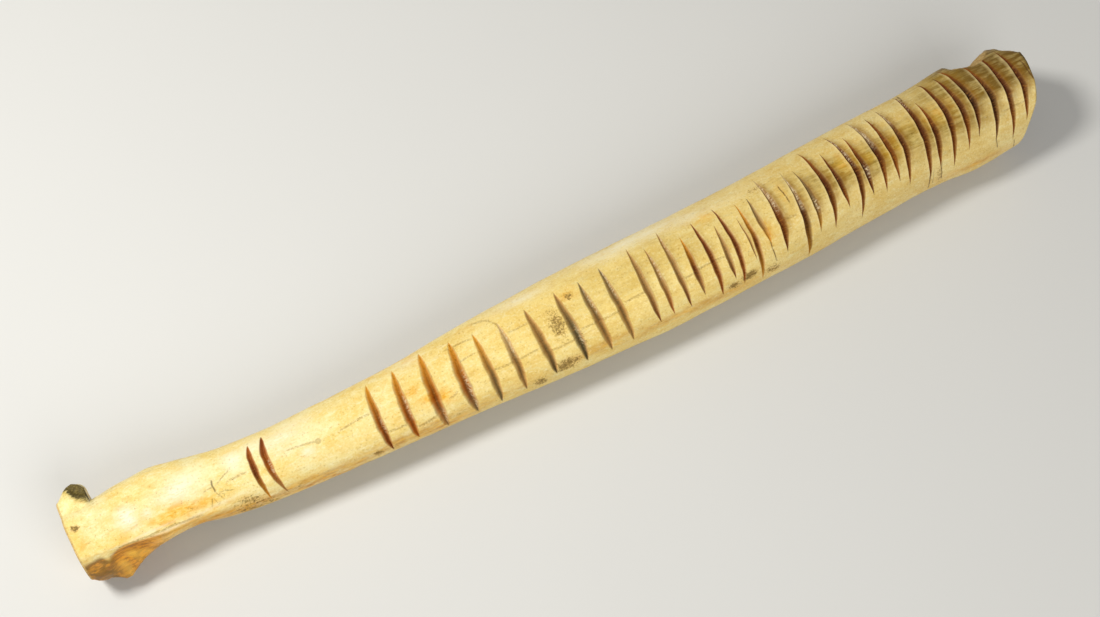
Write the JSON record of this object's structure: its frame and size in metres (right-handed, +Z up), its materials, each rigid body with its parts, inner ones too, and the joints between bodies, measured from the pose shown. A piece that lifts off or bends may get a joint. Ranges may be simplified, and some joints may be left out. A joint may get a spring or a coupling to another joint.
{
  "type": "tally bone",
  "caption": "Slender limb bone shaft, flared at the joint end and broken at the other, with a row of tally cuts carved across its crest.",
  "frame": {"origin": "middle of the underside's bounding box, on the surface that the bone lies on", "axes": "+X along the bone from the flared joint end to the broken end, +Y towards the side with the broken process, +Z up, with the carved crest leaning 18 degrees towards -Y"},
  "size_m": [0.2134, 0.0246, 0.0184],
  "materials": {
    "bone": "old ivory-yellow bone with a low worn polish, umber and amber in the cuts, grey dirt in the pores"
  },
  "bodies": {
    "root": {"notched_bone": "bone"}
  },
  "joints": []
}
